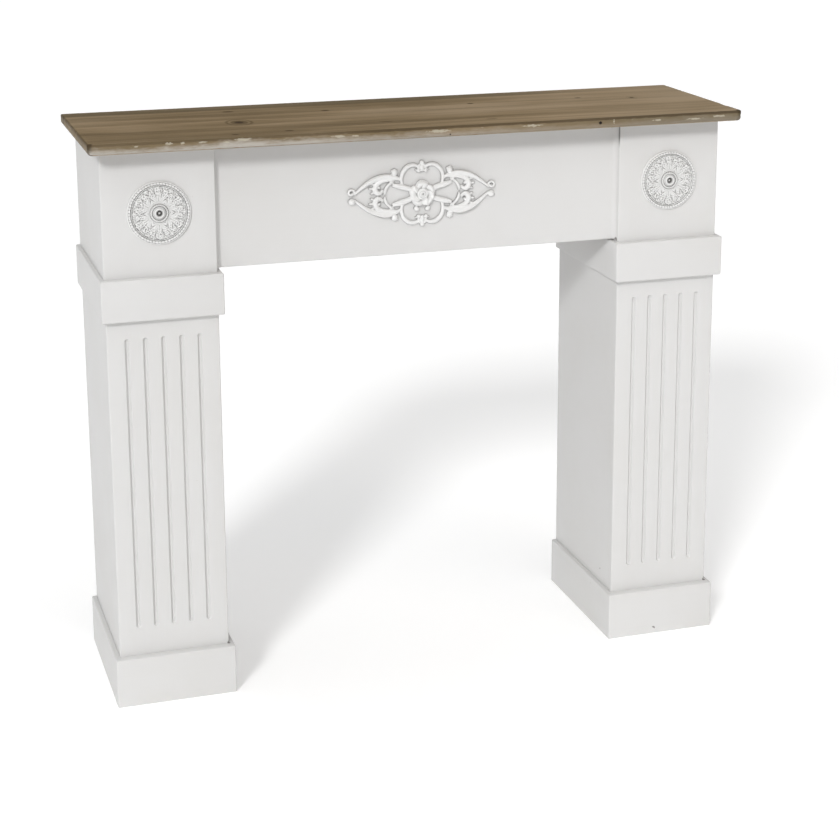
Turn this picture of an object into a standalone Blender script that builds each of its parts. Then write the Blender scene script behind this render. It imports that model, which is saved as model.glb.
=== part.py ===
"""A white-painted wooden fireplace mantelpiece under a natural wood shelf.

Metres, +Z up. The front faces -Y and X runs along the shelf. The origin is on the
floor, under the middle of the shelf.
"""

import math

import bmesh
import bpy
from mathutils import Matrix, Vector

# Gap left between two pieces that touch
FIT_GAP = 0.0003

# Columns: a fluted front board on two side boards, open at the back
OPENING_WIDTH = 0.692
COLUMN_WIDTH = 0.182
COLUMN_DEPTH = 0.274
COLUMN_HEIGHT = 0.929
FRONT_BOARD = 0.012
SIDE_BOARD = 0.012
ARRIS_ROUND = 0.0012

# Flutes of a front board, between the base and the collar
FLUTE_COUNT = 5
FLUTE_WIDTH = 0.0068
FLUTE_DEPTH = 0.0028
FLUTE_SIDE_MARGIN = 0.0325
FLUTE_FOOT_MARGIN = 0.0475
FLUTE_HEAD_MARGIN = 0.031

# Bands of three strips round each column
BASE_HEIGHT = 0.083
BASE_FRONT_STRIP = 0.0145
BASE_SIDE_STRIP = 0.0082
COLLAR_FOOT = 0.6556
COLLAR_HEIGHT = 0.068
COLLAR_FRONT_STRIP = 0.0137
COLLAR_SIDE_STRIP = 0.007

# Frieze board between the columns
FRIEZE_BOARD = 0.012
FRIEZE_SETBACK = 0.013
FRIEZE_OVER_COLLAR = 0.0034

# Shelf, with a small round on top and a larger one below
SHELF_THICKNESS = 0.018
SHELF_END_OVERHANG = 0.022
SHELF_FRONT_OVERHANG = 0.046
SHELF_TOP_ROUND = 0.0025
SHELF_NOSE_ROUND = 0.0075
SHELF_CORNER_ROUND = 0.004

# Cast ornaments
ROSETTE_DIAMETER = 0.102
ROSETTE_LEAVES = 6
SCROLL_WIDTH = 0.257

# Finishes: colour, roughness, metallic
WHITE_PAINT = ((0.80, 0.80, 0.79, 1.0), 0.55, 0.0)
CHALKY_PAINT = ((0.84, 0.84, 0.83, 1.0), 0.65, 0.0)
NATURAL_WOOD = ((0.26, 0.19, 0.12, 1.0), 0.7, 0.0)

# Places worked out from the sizes
COLUMN_MIDDLE = OPENING_WIDTH / 2 + COLUMN_WIDTH / 2
SHELF_LENGTH = OPENING_WIDTH + 2 * COLUMN_WIDTH + 2 * SHELF_END_OVERHANG
SHELF_DEPTH = COLUMN_DEPTH + SHELF_FRONT_OVERHANG
BACK = SHELF_DEPTH / 2
COLUMN_FRONT = BACK - COLUMN_DEPTH
FRIEZE_FRONT = COLUMN_FRONT + FRIEZE_SETBACK
COLLAR_TOP = COLLAR_FOOT + COLLAR_HEIGHT
FRIEZE_FOOT = COLLAR_TOP + FRIEZE_OVER_COLLAR
SHELF_FOOT = COLUMN_HEIGHT + FIT_GAP

# The ornaments are drawn in units: the rosette 102 across, the scroll 252 across.
# The strands' widest line stands a little off the board behind them.
ROSETTE_UNIT = ROSETTE_DIAMETER / 102
SCROLL_UNIT = SCROLL_WIDTH / 252
SCROLL_LIFT = 0.4 * SCROLL_UNIT


def clear_scene():
    """Empties the file of the objects it opened with."""
    for item in list(bpy.data.objects):
        bpy.data.objects.remove(item, do_unlink=True)


def collection(name):
    """A new collection in the scene."""
    made = bpy.data.collections.new(name)
    bpy.context.scene.collection.children.link(made)
    return made


def finish(item, look):
    """Gives a piece a material of its own."""
    colour, roughness, metallic = look
    material = bpy.data.materials.new(item.name + "_finish")
    material.use_nodes = True
    shader = material.node_tree.nodes["Principled BSDF"]
    shader.inputs["Base Color"].default_value = colour
    shader.inputs["Roughness"].default_value = roughness
    shader.inputs["Metallic"].default_value = metallic
    item.data.materials.append(material)


def piece(name, mesh, group, look):
    """Adds a finished mesh to the mantelpiece as a named piece."""
    item = bpy.data.objects.new(name, mesh)
    group.objects.link(item)
    finish(item, look)
    return item


def guide(name, mesh, group):
    """Adds a mesh that only cuts or joins another piece."""
    item = bpy.data.objects.new(name, mesh)
    item.hide_render = True
    item.display_type = "WIRE"
    group.objects.link(item)
    return item


def mesh_from(bm, name):
    """Turns a bmesh into mesh data."""
    mesh = bpy.data.meshes.new(name)
    bm.to_mesh(mesh)
    bm.free()
    return mesh


def box(bm, low, high):
    """A box between two corners, and its vertices."""
    low = Vector(low)
    high = Vector(high)
    size = high - low
    place = Matrix.Translation((low + high) / 2) @ Matrix.Diagonal((*size, 1))
    return bmesh.ops.create_cube(bm, size=1, matrix=place)["verts"]


def round_edges(bm, edges, width, segments):
    """Rounds the edges given."""
    bmesh.ops.bevel(bm, geom=edges, offset=width, segments=segments, profile=0.5,
                    affect="EDGES", clamp_overlap=True, material=-1)


def shown_edges(bm, shown):
    """The edges of a box between two of its shown sides, such as -Y and +X."""
    def side(face):
        axis = max(range(3), key=lambda index: abs(face.normal[index]))
        return ("+" if face.normal[axis] > 0 else "-") + "XYZ"[axis]
    return [edge for edge in bm.edges if all(side(face) in shown for face in edge.link_faces)]


def board(name, low, high, shown, group):
    """A sawn board with its arrises eased between the sides that show."""
    bm = bmesh.new()
    box(bm, low, high)
    edges = shown_edges(bm, shown)
    if edges:
        round_edges(bm, edges, ARRIS_ROUND, 2)
    return piece(name, mesh_from(bm, name), group, WHITE_PAINT)


def flute_cutters(name, middle, group):
    """Rounded bars that cut the flutes of one front board."""
    radius = (FLUTE_WIDTH ** 2 / 4 + FLUTE_DEPTH ** 2) / (2 * FLUTE_DEPTH)
    bar_rings = 7
    ball_radius = radius / math.cos(math.pi / 2 / bar_rings)
    foot = BASE_HEIGHT + FLUTE_FOOT_MARGIN
    head = COLLAR_FOOT - FLUTE_HEAD_MARGIN
    pitch = (COLUMN_WIDTH - 2 * FLUTE_SIDE_MARGIN) / (FLUTE_COUNT - 1)
    axis_y = COLUMN_FRONT + FLUTE_DEPTH - radius
    bm = bmesh.new()
    for index in range(FLUTE_COUNT):
        across = middle + (index - (FLUTE_COUNT - 1) / 2) * pitch
        ball = bmesh.ops.create_uvsphere(bm, u_segments=16, v_segments=bar_rings, radius=ball_radius)
        upper = [vert for vert in ball["verts"] if vert.co.z > 0]
        bmesh.ops.translate(bm, verts=upper, vec=(0, 0, head - foot - 2 * radius))
        bmesh.ops.translate(bm, verts=ball["verts"], vec=(across, axis_y, foot + radius))
    return guide(name, mesh_from(bm, name), group)


def front_board(side, middle, group, cutters):
    """The fluted front board of one column, with its plain block above the collar."""
    low = (middle - COLUMN_WIDTH / 2, COLUMN_FRONT, 0)
    high = (middle + COLUMN_WIDTH / 2, COLUMN_FRONT + FRONT_BOARD, COLUMN_HEIGHT)
    item = board("column_front_" + side, low, high, ("-Y", "-X", "+X"), group)
    cut = item.modifiers.new("flutes", "BOOLEAN")
    cut.operation = "DIFFERENCE"
    cut.solver = "EXACT"
    cut.object = flute_cutters("flutes_" + side, middle, cutters)


def side_boards(side, middle, group):
    """The outer and inner side boards of one column, behind its front board."""
    front = COLUMN_FRONT + FRONT_BOARD + FIT_GAP
    outward = math.copysign(1, middle)
    for place, way in (("outer", outward), ("inner", -outward)):
        face = middle + way * COLUMN_WIDTH / 2
        back_face = face - way * SIDE_BOARD
        low = (min(face, back_face), front, 0)
        high = (max(face, back_face), BACK, COLUMN_HEIGHT)
        board(f"column_{place}_{side}", low, high, (), group)


def band(kind, side, middle, foot, top, front_strip, side_strip, group):
    """Three strips round one column: the front one covers the ends of the side ones."""
    half = COLUMN_WIDTH / 2 + FIT_GAP
    ends = ("-Z", "+Z") if foot > 0 else ("+Z",)
    front = COLUMN_FRONT - FIT_GAP
    low = (middle - half - side_strip, front - front_strip, foot)
    high = (middle + half + side_strip, front, top)
    board(f"{kind}_front_{side}", low, high, ("-Y", "-X", "+X") + ends, group)
    outward = math.copysign(1, middle)
    for place, way in (("outer", outward), ("inner", -outward)):
        near = middle + way * half
        far = near + way * side_strip
        low = (min(near, far), COLUMN_FRONT, foot)
        high = (max(near, far), BACK, top)
        shown = ("+X" if way > 0 else "-X",) + ends
        board(f"{kind}_{place}_{side}", low, high, shown, group)


def frieze(group):
    """The frieze board, let in between the inner sides of the columns."""
    half = OPENING_WIDTH / 2 - FIT_GAP
    low = (-half, FRIEZE_FRONT, FRIEZE_FOOT)
    high = (half, FRIEZE_FRONT + FRIEZE_BOARD, COLUMN_HEIGHT)
    board("frieze_board", low, high, ("-Y", "-Z"), group)


def shelf(group):
    """The wooden shelf, rounded along its front and its ends and square at the back."""
    bm = bmesh.new()
    low = (-SHELF_LENGTH / 2, -SHELF_DEPTH / 2, SHELF_FOOT)
    high = (SHELF_LENGTH / 2, SHELF_DEPTH / 2, SHELF_FOOT + SHELF_THICKNESS)
    box(bm, low, high)
    round_edges(bm, shown_edges(bm, ("-Y", "-X", "+X")), SHELF_CORNER_ROUND, 3)
    middle = SHELF_FOOT + SHELF_THICKNESS / 2
    for above, width, segments in ((False, SHELF_NOSE_ROUND, 4), (True, SHELF_TOP_ROUND, 2)):
        rim = [edge for edge in bm.edges
               if all((vert.co.z > middle) == above for vert in edge.verts)
               and not all(vert.co.y > BACK - ARRIS_ROUND for vert in edge.verts)
               and any(abs(face.normal.z) > 0.9 for face in edge.link_faces)]
        round_edges(bm, rim, width, segments)
    piece("mantel_shelf", mesh_from(bm, "mantel_shelf"), group, NATURAL_WOOD)


def smooth_path(points, steps):
    """Samples along a smooth curve through the points, each a tuple of numbers."""
    ends = [points[0], *points, points[-1]]
    path = []
    for before, start, end, after in zip(ends, ends[1:], ends[2:], ends[3:]):
        for step in range(steps):
            t = step / steps
            path.append(tuple(
                0.5 * (2 * b + (c - a) * t + (2 * a - 5 * b + 4 * c - d) * t ** 2
                       + (3 * b - a - 3 * c + d) * t ** 3)
                for a, b, c, d in zip(before, start, end, after)))
    path.append(tuple(points[-1]))
    return path


def strand(name, points, rise, place, group, steps=2, roundness=2):
    """A carved strand of the scroll: points are across, up and half width, in units.

    Its section is round, then stretched by rise away from the board.
    """
    curve = bpy.data.curves.new(name, "CURVE")
    curve.dimensions = "3D"
    curve.bevel_depth = SCROLL_UNIT
    curve.bevel_resolution = roundness
    curve.use_fill_caps = True
    path = smooth_path(points, steps)
    spline = curve.splines.new("POLY")
    spline.points.add(len(path) - 1)
    for point, (across, up, half_width) in zip(spline.points, path):
        point.co = (across * SCROLL_UNIT, 0, up * SCROLL_UNIT, 1)
        point.radius = half_width
    drawn = bpy.data.objects.new(name, curve)
    group.objects.link(drawn)
    bpy.context.view_layer.update()
    mesh = bpy.data.meshes.new_from_object(drawn.evaluated_get(bpy.context.evaluated_depsgraph_get()))
    bpy.data.objects.remove(drawn, do_unlink=True)
    bm = bmesh.new()
    bm.from_mesh(mesh)
    bmesh.ops.remove_doubles(bm, verts=bm.verts, dist=0.00001)
    bmesh.ops.scale(bm, verts=bm.verts, vec=(1, rise, 1))
    bm.to_mesh(mesh)
    bm.free()
    item = guide(name, mesh, group)
    item.location = place
    return item


def knob(name, across, up, sizes, turn, place, group, sides=8, rings=6):
    """A rounded knob of the scroll, with its half sizes across, out and up in units."""
    bm = bmesh.new()
    bmesh.ops.create_uvsphere(bm, u_segments=sides, v_segments=rings, radius=SCROLL_UNIT)
    form = Matrix.Rotation(turn, 4, "Y") @ Matrix.Diagonal((*sizes, 1))
    bmesh.ops.transform(bm, matrix=form, verts=bm.verts)
    bmesh.ops.translate(bm, verts=bm.verts, vec=(across * SCROLL_UNIT, 0, up * SCROLL_UNIT))
    item = guide(name, mesh_from(bm, name), group)
    item.location = place
    return item


def spiral(middle, outer, inner, start, turns, count, widths):
    """Points of a volute: a spiral that closes in on its middle as its width changes."""
    points = []
    for index in range(count):
        share = index / (count - 1)
        angle = start + turns * 2 * math.pi * share
        radius = outer + (inner - outer) * share
        width = widths[0] + (widths[1] - widths[0]) * share
        points.append((middle[0] + radius * math.cos(angle), middle[1] + radius * math.sin(angle), width))
    return points


def scroll_quarter(tag, right, above, place, group):
    """The strands of one quarter of the scroll, turned to its side by the two signs."""
    def turned(points):
        return [(right * across, above * up, half_width) for across, up, half_width in points]

    wing = [(114, 4, 2.6), (101, 15.5, 3.2), (85, 26, 3.9), (66, 32, 4.1), (49, 31, 3.6), (37, 25, 2.8)]
    strand("wing_" + tag, turned(wing), 1.35, place, group)
    lobe = [(31, 11, 2.4), (35, 23, 3.0), (33, 36, 3.5), (24, 46, 3.6), (13, 48, 3.3), (5.5, 43.5, 2.8),
            (8, 38, 2.6), (12, 40, 2.2)]
    strand("lobe_" + tag, turned(lobe), 1.35, place, group)
    leaf = [(11, 3, 3.2), (24, 9.5, 4.8), (38, 15, 4.6), (52, 18.5, 1.6)]
    strand("leaf_" + tag, turned(leaf), 1.25, place, group)
    inner = [(42, 26, 2.6), (57, 24.5, 3.6), (70, 19, 4.2), (78, 9.5, 4.0), (73, 2.5, 3.0), (67, 6, 2.2)]
    strand("inner_scroll_" + tag, turned(inner), 1.2, place, group)
    curl = [(4, 16, 3.0), (11.5, 20, 2.9), (13, 27, 2.6), (7.5, 29.5, 2.3)]
    strand("curl_" + tag, turned(curl), 1.3, place, group, roundness=1)
    knob("joint_knob_" + tag, right * 46.5, above * 37, (5.8, 6.5, 5.8), 0, place, group)
    if above > 0:
        volute = spiral((119.5, 7.5), 6.2, 2.4, math.radians(215), -1.0, 8, (2.8, 2.4))
        strand("tip_volute_" + tag, turned(volute), 1.5, place, group, steps=1, roundness=1)
    else:
        knob("tip_knob_" + tag, right * 118, above * 7, (6.2, 6.5, 5.8), 0, place, group)


def scroll(group, guides):
    """The openwork scroll on the frieze: a rose with leaves, four lobes and two wings."""
    back = Vector((0, FRIEZE_FRONT - FIT_GAP, (FRIEZE_FOOT + COLUMN_HEIGHT) / 2))
    place = back - Vector((0, SCROLL_LIFT, 0))
    strands = bpy.data.collections.new("scroll_strands")
    guides.children.link(strands)
    for side, right in (("left", -1), ("right", 1)):
        for level, above in (("lower", -1), ("upper", 1)):
            scroll_quarter(f"{side}_{level}", right, above, place, strands)
    for level, above in (("lower", -1), ("upper", 1)):
        knob("finial_" + level, 0, above * 51, (4.6, 5.5, 4.2), 0, place, strands)
        knob("drop_" + level, 0, above * 43.5, (3.6, 5.5, 7.0), 0, place, strands)
    for index in range(5):
        angle = math.radians(90 + 72 * index)
        petal = (13.5 * math.cos(angle), 13.5 * math.sin(angle))
        knob(f"petal_{index}", *petal, (8.5, 8.5, 7.5), -angle, place, strands)
    whorl = spiral((0, 0), 10.5, 2.0, 0.0, 1.6, 14, (3.4, 2.6))
    whorl_place = place - Vector((0, 8.5 * SCROLL_UNIT, 0))
    strand("whorl", whorl, 1.0, whorl_place, strands, steps=1, roundness=1)

    bm = bmesh.new()
    bmesh.ops.create_uvsphere(bm, u_segments=16, v_segments=8, radius=SCROLL_UNIT)
    bmesh.ops.scale(bm, verts=bm.verts, vec=(13, 10, 13))
    rose = piece("frieze_scroll", mesh_from(bm, "frieze_scroll"), group, CHALKY_PAINT)
    rose.location = place
    join = rose.modifiers.new("strands", "BOOLEAN")
    join.operation = "UNION"
    join.solver = "EXACT"
    join.operand_type = "COLLECTION"
    join.collection = strands
    flatten_back(rose, "scroll_room", Matrix.Translation(back), SCROLL_WIDTH, guides)


def flatten_back(item, name, place, size, guides):
    """Keeps only what stands in front of the plane at an ornament's back, its own XZ plane."""
    bm = bmesh.new()
    box(bm, (-size, -size, -size), (size, 0, size))
    room = guide(name, mesh_from(bm, name), guides)
    room.matrix_world = place
    keep = item.modifiers.new("flat_back", "BOOLEAN")
    keep.operation = "INTERSECT"
    keep.solver = "MANIFOLD"
    keep.object = room


def rosette_profile():
    """Radius and height above the back, in units, from the eyelet out and round to the back."""
    eyelet = [(0, 3.0), (4.4, 3.0), (4.8, 9.2), (7.6, 10.0), (11.2, 7.2)]
    ring = [(13.8, 7.6), (16.6, 4.2)]
    field = [(43.2, 3.4)]
    rim = [(45.2, 5.6), (47.8, 4.4), (50.6, 3.4), (51.0, 0)]
    return eyelet + ring + field + rim + [(0, 0)]


def rosette_leaf(bm, angle):
    """An acanthus leaf that lies outwards over the field, with a scalloped edge and a sunk rib."""
    rings = 7
    base = 12.5
    length = 31.5
    half_width = 12.4
    middle_height = 2.6
    top_height = 4.6
    sink = 2.0
    ball = bmesh.ops.create_uvsphere(bm, u_segments=12, v_segments=rings, radius=1)["verts"]
    for vert in ball:
        along = (1 - vert.co.z) / 2
        ring = round(math.acos(max(-1, min(1, vert.co.z))) / math.pi * rings)
        scallop = 1.16 if ring % 2 else 0.84
        spread = half_width * (0.62 + 0.5 * along) * scallop
        rib = 0.62 if abs(vert.co.x) < 0.1 else 1.0
        rise = top_height * rib * (1.15 - 0.4 * along)
        height = middle_height + vert.co.y * (rise if vert.co.y > 0 else sink)
        vert.co = Vector((base + length * along, vert.co.x * spread, height))
    form = Matrix.Rotation(angle, 4, "Z") @ Matrix.Scale(ROSETTE_UNIT, 4)
    bmesh.ops.transform(bm, matrix=form, verts=ball)


def rosette(side, middle, group, guides):
    """A cast rosette: an eyelet, a ring of leaves and a moulded rim, flat against the block."""
    name = "rosette_" + side
    leaves = bpy.data.collections.new("leaves_" + side)
    guides.children.link(leaves)
    upright = Matrix.Rotation(math.radians(90), 4, "X")
    place = Vector((middle, COLUMN_FRONT - FIT_GAP, (COLLAR_TOP + COLUMN_HEIGHT) / 2))
    for index in range(ROSETTE_LEAVES):
        bm = bmesh.new()
        rosette_leaf(bm, 2 * math.pi * (index + 0.5) / ROSETTE_LEAVES)
        bmesh.ops.recalc_face_normals(bm, faces=bm.faces)
        leaf = guide(f"leaf_{side}_{index}", mesh_from(bm, f"leaf_{side}_{index}"), leaves)
        leaf.matrix_world = Matrix.Translation(place) @ upright
    bm = bmesh.new()
    corners = [bm.verts.new((radius * ROSETTE_UNIT, 0, height * ROSETTE_UNIT))
               for radius, height in rosette_profile()]
    for start, end in zip(corners, corners[1:]):
        bm.edges.new((start, end))
    disc = piece(name, mesh_from(bm, name), group, CHALKY_PAINT)
    disc.matrix_world = Matrix.Translation(place) @ upright
    turn = disc.modifiers.new("turned", "SCREW")
    turn.steps = 24
    turn.render_steps = 24
    turn.use_merge_vertices = True
    turn.merge_threshold = 0.00002
    join = disc.modifiers.new("leaves", "BOOLEAN")
    join.operation = "UNION"
    join.solver = "EXACT"
    join.operand_type = "COLLECTION"
    join.collection = leaves


def main():
    """Builds the whole mantelpiece."""
    clear_scene()
    pieces = collection("fireplace_mantelpiece")
    guides = collection("guides")
    shelf(pieces)
    frieze(pieces)
    for side, middle in (("left", -COLUMN_MIDDLE), ("right", COLUMN_MIDDLE)):
        front_board(side, middle, pieces, guides)
        side_boards(side, middle, pieces)
        band("base", side, middle, 0, BASE_HEIGHT, BASE_FRONT_STRIP, BASE_SIDE_STRIP, pieces)
        band("collar", side, middle, COLLAR_FOOT, COLLAR_TOP, COLLAR_FRONT_STRIP, COLLAR_SIDE_STRIP, pieces)
        rosette(side, middle, pieces, guides)
    scroll(pieces, guides)


main()
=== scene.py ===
"""The looks of a white-painted wooden mantelpiece: boards, worn shelf, rosettes and scroll."""

import math

import bmesh
import bpy
from bpy.props import FloatProperty, FloatVectorProperty, IntProperty, PointerProperty
from mathutils import Matrix, Vector, noise


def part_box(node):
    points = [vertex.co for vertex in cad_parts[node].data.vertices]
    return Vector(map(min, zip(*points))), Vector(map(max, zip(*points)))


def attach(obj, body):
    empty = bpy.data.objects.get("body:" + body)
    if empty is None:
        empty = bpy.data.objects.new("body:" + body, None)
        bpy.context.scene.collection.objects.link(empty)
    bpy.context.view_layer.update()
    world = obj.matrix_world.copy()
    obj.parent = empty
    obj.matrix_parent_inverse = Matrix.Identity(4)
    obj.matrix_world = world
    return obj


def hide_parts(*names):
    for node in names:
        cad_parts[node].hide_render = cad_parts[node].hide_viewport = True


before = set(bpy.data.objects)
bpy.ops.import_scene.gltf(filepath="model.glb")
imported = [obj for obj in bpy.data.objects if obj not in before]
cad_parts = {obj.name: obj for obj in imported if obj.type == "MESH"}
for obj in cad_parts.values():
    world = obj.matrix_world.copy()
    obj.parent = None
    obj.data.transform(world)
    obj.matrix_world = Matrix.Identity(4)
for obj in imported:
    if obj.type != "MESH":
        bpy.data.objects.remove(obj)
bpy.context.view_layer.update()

bl_info = {
    "name": "Painted Mantelpiece",
    "version": (1, 0, 0),
    "blender": (4, 5, 0),
    "location": "3D View > Sidebar > Mantelpiece",
    "description": "Dresses a wooden mantelpiece with paint, worn wood and carved ornaments",
    "category": "Object",
}

# The mantelpiece stands still, so every piece rides on the one body
BODY = "root"
SIDES = ("left", "right")
FRONT_AND_ENDS = ("-Y", "-X", "+X")
# Bands round a column, and which of their ends show
BANDS = (("base", ("+Z",)), ("collar", ("-Z", "+Z")))

MM = 0.001
# Half the width of the floor
FLOOR_REACH = 16.0


def corners(node):
    """The low and the high corner of a node's box in the frame."""
    return [Vector(corner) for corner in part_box(node)]


SHELF_LOW, SHELF_HIGH = corners("mantel_shelf")


def two_ways(operation):
    """An operator that adds one kind of Math node, and its reflected form."""
    return (lambda self, other: self.maths(operation, self, other),
            lambda self, other: self.maths(operation, other, self))


class Channel:
    """A shader socket that adds its own Math nodes when it stands in a sum."""

    def __init__(self, finish, output):
        self.finish = finish
        self.output = output

    def maths(self, operation, *values):
        """Adds one Math node for the values given."""
        return self.finish.node("ShaderNodeMath", {"operation": operation}, dict(enumerate(values)))

    __add__, __radd__ = two_ways("ADD")
    __sub__, __rsub__ = two_ways("SUBTRACT")
    __mul__, __rmul__ = two_ways("MULTIPLY")
    __truediv__, __rtruediv__ = two_ways("DIVIDE")

    def __pow__(self, other):
        return self.maths("POWER", self, other)

    def __abs__(self):
        return self.maths("ABSOLUTE", self)

    def least(self, other):
        """The smaller of two values."""
        return self.maths("MINIMUM", self, other)

    def most(self, other):
        """The larger of two values."""
        return self.maths("MAXIMUM", self, other)


class Finish:
    """A named material with a way to add any shader node."""

    def __init__(self, name):
        self.material = bpy.data.materials.new(name)
        self.material.use_nodes = True
        self.tree = self.material.node_tree
        self.shader = self.tree.nodes["Principled BSDF"]

    def feed(self, socket, value):
        """Links a channel to a socket, or sets a plain value on it."""
        if isinstance(value, Channel):
            self.tree.links.new(value.output, socket)
        else:
            socket.default_value = value

    def node(self, kind, settings=None, inputs=None, output=0):
        """Adds a node: its settings first, then the values or links of its sockets."""
        made = self.tree.nodes.new(kind)
        for name, value in (settings or {}).items():
            if name == "stops":
                self.set_stops(made.color_ramp, value)
            else:
                setattr(made, name, value)
        for key, value in (inputs or {}).items():
            self.feed(made.inputs[key], value)
        return Channel(self, made.outputs[output])

    def set_stops(self, ramp, stops):
        """Gives a colour ramp its stops, each a place and a colour."""
        while len(ramp.elements) < len(stops):
            ramp.elements.new(1.0)
        for element, (place, colour) in zip(ramp.elements, stops):
            element.position = place
            element.color = (*colour[:3], 1.0)

    def place(self):
        """The point on the piece, in metres."""
        return self.node("ShaderNodeTexCoord", output=3)

    def axes(self, vector):
        """The three parts of a vector."""
        parts = self.node("ShaderNodeSeparateXYZ", inputs={0: vector})
        return [Channel(self, output) for output in parts.output.node.outputs]

    def vector(self, x, y, z):
        """A vector from three parts."""
        return self.node("ShaderNodeCombineXYZ", inputs={0: x, 1: y, 2: z})

    def grain(self, vector, stretch=None, detail=3.0, roughness=0.5):
        """Soft noise between 0 and 1, finer along each axis by the numbers in stretch."""
        if stretch:
            vector = self.node("ShaderNodeVectorMath", {"operation": "MULTIPLY"}, {0: vector, 1: stretch})
        return self.node("ShaderNodeTexNoise", {"noise_dimensions": "3D"}, {
            "Vector": vector, "Scale": 1.0, "Detail": detail, "Roughness": roughness})

    def ease(self, value, low, high, start=0.0, end=1.0):
        """Goes smoothly from start to end as the value goes from low to high."""
        return self.node("ShaderNodeMapRange", {"interpolation_type": "SMOOTHSTEP"}, {
            "Value": value, "From Min": low, "From Max": high, "To Min": start, "To Max": end})

    def fade(self, value, low, high):
        """Goes smoothly from 1 to 0 as the value goes from low to high."""
        return self.ease(value, low, high, 1.0, 0.0)

    def blend(self, factor, first, second):
        """Mixes two colours."""
        colours = [value if isinstance(value, Channel) else (*value[:3], 1) for value in (first, second)]
        return self.node("ShaderNodeMix", {"data_type": "RGBA"},
                         {0: factor, 6: colours[0], 7: colours[1]}, output=2)

    def ramp(self, factor, stops):
        """Colours along a scale from 0 to 1."""
        return self.node("ShaderNodeValToRGB", {"stops": stops}, {0: factor})

    def bump(self, height, distance, strength=1.0):
        """Turns a height from 0 to 1 into a bumped normal of that many metres."""
        return self.node("ShaderNodeBump", inputs={
            "Height": height, "Distance": distance, "Strength": strength})

    def wear(self, colour, roughness, normal, gloss=0.3):
        """Feeds the shader its colour, roughness and normal, and sets how glossy it is."""
        for name, value in (("Base Color", colour), ("Roughness", roughness), ("Normal", normal)):
            self.feed(self.shader.inputs[name], value)
        self.shader.inputs["Specular IOR Level"].default_value = gloss


def tint(name, description, default):
    """A setting that holds a colour."""
    return FloatVectorProperty(
        name=name, description=description, default=default, subtype="COLOR", size=3, min=0, max=1)


def amount(name, description, default, **limits):
    """A setting that holds a number, with its limits, unit or subtype."""
    return FloatProperty(name=name, description=description, default=default, **limits)


class PaintSettings(bpy.types.PropertyGroup):
    """The white paint on the boards."""

    colour: tint("Paint", "Colour of the clean paint", (0.662, 0.659, 0.653))
    thin_colour: tint("Thin paint", "Colour of thin or soiled paint", (0.638, 0.631, 0.616))
    bare_colour: tint("Bare board", "Colour of the board under chipped paint", (0.42, 0.38, 0.33))
    # The marks' colour also paints the shade in small gaps between parts
    mark_and_shade_colour: tint("Marks", "Colour of nail heads, dents and open joints", (0.16, 0.15, 0.14))
    roughness: amount("Roughness", "Roughness of the paint", 0.52, min=0, max=1, subtype="FACTOR")
    brush_height: amount("Brush marks", "Height of the brush marks", 0.00022, unit="LENGTH")
    arris: amount("Arris", "Rounding of the painted edges", 0.0021, unit="LENGTH")


class WoodSettings(bpy.types.PropertyGroup):
    """The weathered wood of the shelf."""

    pale: tint("Pale grain", "Colour of the pale grain", (0.365, 0.267, 0.163))
    middle: tint("Middle grain", "Colour of most of the wood", (0.213, 0.153, 0.082))
    dark: tint("Dark grain", "Colour of the dark grain", (0.112, 0.077, 0.036))
    stain: tint("Stain", "Colour of the knots, cracks and the dark line of the edge", (0.045, 0.028, 0.014))
    greyed: tint("Greyed", "Colour of the greyed patches", (0.275, 0.222, 0.154))
    back_strip: tint("Back strip", "Colour of the darker strip at the back", (0.094, 0.074, 0.040))
    rubbed: tint("Rubbed edge", "Colour rubbed into the edge", (0.108, 0.088, 0.050))
    wash: tint("Wash", "Colour of the old paint washed over the edge", (0.43, 0.40, 0.355))
    scrap: tint("Scraps", "Colour of the scraps of paint left on the edge", (0.46, 0.42, 0.33))
    hole: tint("Holes", "Colour inside the nail holes", (0.02, 0.015, 0.012))
    roughness: amount("Roughness", "Roughness of the wood", 0.62, min=0, max=1, subtype="FACTOR")
    wear: amount("Edge wear", "How deep the edge is worn", 0.0011, unit="LENGTH")


class CarvingSettings(bpy.types.PropertyGroup):
    """The cast rosettes and the scroll."""

    colour: tint("Casting", "Colour of the painted casting", (0.765, 0.765, 0.76))
    # Painted shade: the colour that the hollows of the carving are darkened towards
    hollow_shade_colour: tint("Hollows", "Colour in the hollows of the carving", (0.19, 0.187, 0.18))
    beads: IntProperty(name="Beads", description="Beads round a rosette's rim", default=60, min=8)
    leaves: IntProperty(name="Leaves", description="Leaves of a rosette", default=6, min=3)
    steps: IntProperty(name="Steps", description="Steps round a rosette", default=384, min=60)
    scroll_cell: amount(
        "Scroll cell", "Size of the cells that the scroll is melted into", 0.0008, unit="LENGTH")


class StageSettings(bpy.types.PropertyGroup):
    """The floor, the lights and the camera."""

    floor: tint("Floor", "Colour of the floor", (0.97, 0.97, 0.97))
    sky: amount("Sky", "Brightness of the sky above", 0.05, min=0)
    overhead: amount("Overhead", "Strength of the wide light overhead", 1.85, min=0)
    key: amount("Key light", "Strength of the light from the front", 1.80, min=0)
    glow: amount("Warm light", "Power of the warm light in watts", 5, min=0)
    floor_glow: amount("Floor glow", "Light given off by the floor", 0.17, min=0)
    focal_length: amount("Focal length", "Focal length in millimetres", 83.875, min=1)
    camera_place: FloatVectorProperty(
        name="Camera", description="Place of the camera", size=3, subtype="TRANSLATION", unit="LENGTH",
        default=(-0.9340, -3.1211, 1.4590))
    camera_turn: amount("Turn", "Turn of the camera to the right", math.radians(18.2388), subtype="ANGLE")
    camera_tilt: amount("Tilt", "Tilt of the camera down", math.radians(13.8357), subtype="ANGLE")
    shift_across: amount("Shift across", "Sideways lens shift", -0.0447)
    shift_up: amount("Shift up", "Upward lens shift", -0.1663)


# Open joints: across, deep, and from which height to which
CREVICES = ((0.3459, -0.1115, 0.893, 0.93),)
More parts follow.
